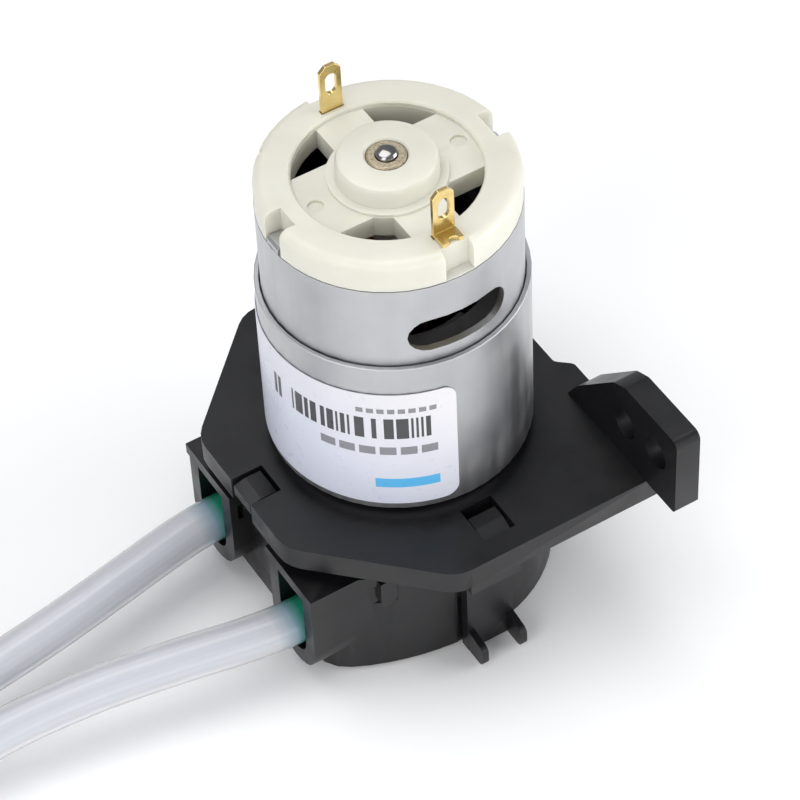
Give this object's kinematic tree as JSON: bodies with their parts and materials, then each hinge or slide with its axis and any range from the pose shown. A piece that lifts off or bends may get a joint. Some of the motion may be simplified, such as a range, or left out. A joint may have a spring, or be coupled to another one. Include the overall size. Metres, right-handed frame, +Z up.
{
  "type": "peristaltic pump",
  "caption": "Small peristaltic pump: brushed motor on a plastic plate with mounting feet, clip-on roller pump head and silicone hoses.",
  "frame": {"origin": "motor axis at the flat underside of the pump head, which the part stands on", "axes": "+Z up along the motor shaft, from the pump head to the terminals; -X the way the two hoses leave; the feet are on the +X side"},
  "size_m": [0.1209, 0.0558, 0.0646],
  "materials": {
    "black_moulding": "satin moulded black",
    "zinc_steel": "bright zinc plate",
    "label_film": "satin white film",
    "cap_nylon": "natural nylon, satin",
    "terminal_brass": "bright strip",
    "sintered_bronze": "porous, oiled",
    "ground_steel": "ground",
    "lamination_iron": "stacked laminations",
    "ferrite": "dark ceramic, matte",
    "enamelled_copper": "clear enamel",
    "inner_moulding": "natural, satin",
    "carbon": "pressed carbon",
    "green_moulding": "moulded green",
    "clear_silicone": "milky translucent",
    "roller_moulding": "hard, smooth"
  },
  "bodies": {
    "pump_body": {"brush_arm_back": "terminal_brass", "brush_arm_front": "terminal_brass", "brush_back": "carbon", "brush_front": "carbon", "connector_back": "green_moulding", "connector_front": "green_moulding", "end_cap": "cap_nylon", "flux_ring": "zinc_steel", "front_bearing": "sintered_bronze", "head_cover": "black_moulding", "label": "label_film", "magnet_back": "ferrite", "magnet_clip_left": "ground_steel", "magnet_clip_right": "ground_steel", "magnet_front": "ferrite", "motor_can": "zinc_steel", "motor_screw_left": "ground_steel", "motor_screw_right": "ground_steel", "mounting_plate": "black_moulding", "outlet_hose_back": "clear_silicone", "outlet_hose_front": "clear_silicone", "pump_housing": "black_moulding", "pump_tube": "clear_silicone", "rear_bearing": "sintered_bronze", "terminal_back": "terminal_brass", "terminal_front": "terminal_brass"},
    "roller_1": {"roller_1": "roller_moulding"},
    "roller_2": {"roller_2": "roller_moulding"},
    "roller_3": {"roller_3": "roller_moulding"},
    "roller_cage": {"carrier_lower": "inner_moulding", "carrier_upper": "inner_moulding", "roller_pin_1": "ground_steel", "roller_pin_2": "ground_steel", "roller_pin_3": "ground_steel"},
    "motor_rotor": {"motor_shaft": "ground_steel", "armature_core": "lamination_iron", "winding_1": "enamelled_copper", "winding_2": "enamelled_copper", "winding_3": "enamelled_copper", "commutator_core": "inner_moulding", "commutator_bar_1": "enamelled_copper", "commutator_bar_2": "enamelled_copper", "commutator_bar_3": "enamelled_copper", "front_spacer": "inner_moulding", "rear_spacer": "inner_moulding", "drive_sleeve": "terminal_brass"},
    "front_latch": {"latch_front": "black_moulding"},
    "back_latch": {"latch_back": "black_moulding"}
  },
  "joints": [
    {"name": "motor_spin", "type": "hinge", "parent": "pump_body", "child": "motor_rotor", "pos_m": [0, 0, 0.05], "axis": [0, 0, 1], "continuous": true},
    {"name": "cage_turn", "type": "hinge", "parent": "pump_body", "child": "roller_cage", "pos_m": [0, 0, 0.0075], "axis": [0, 0, 1], "continuous": true},
    {"name": "roller_1_spin", "type": "hinge", "parent": "roller_cage", "child": "roller_1", "pos_m": [-0.0075, 0, 0.0076], "axis": [0, 0, 1], "continuous": true},
    {"name": "roller_2_spin", "type": "hinge", "parent": "roller_cage", "child": "roller_2", "pos_m": [0.00375, -0.00649, 0.0076], "axis": [0, 0, 1], "continuous": true},
    {"name": "roller_3_spin", "type": "hinge", "parent": "roller_cage", "child": "roller_3", "pos_m": [0.00375, 0.00649, 0.0076], "axis": [0, 0, 1], "continuous": true},
    {"name": "front_latch_press", "type": "hinge", "parent": "pump_body", "child": "front_latch", "pos_m": [0, -0.0163, 0.009], "axis": [-1, 0, 0], "range_deg": [0, 5], "stiffness_Nm_per_rad": 0.02},
    {"name": "back_latch_press", "type": "hinge", "parent": "pump_body", "child": "back_latch", "pos_m": [0, 0.0163, 0.009], "axis": [1, 0, 0], "range_deg": [0, 5], "stiffness_Nm_per_rad": 0.02}
  ],
  "couplings": [
    {"joint": "cage_turn", "follows": "motor_spin", "ratio": 0.22},
    {"joint": "roller_1_spin", "follows": "motor_spin", "ratio": -0.61286},
    {"joint": "roller_2_spin", "follows": "motor_spin", "ratio": -0.61286},
    {"joint": "roller_3_spin", "follows": "motor_spin", "ratio": -0.61286}
  ]
}
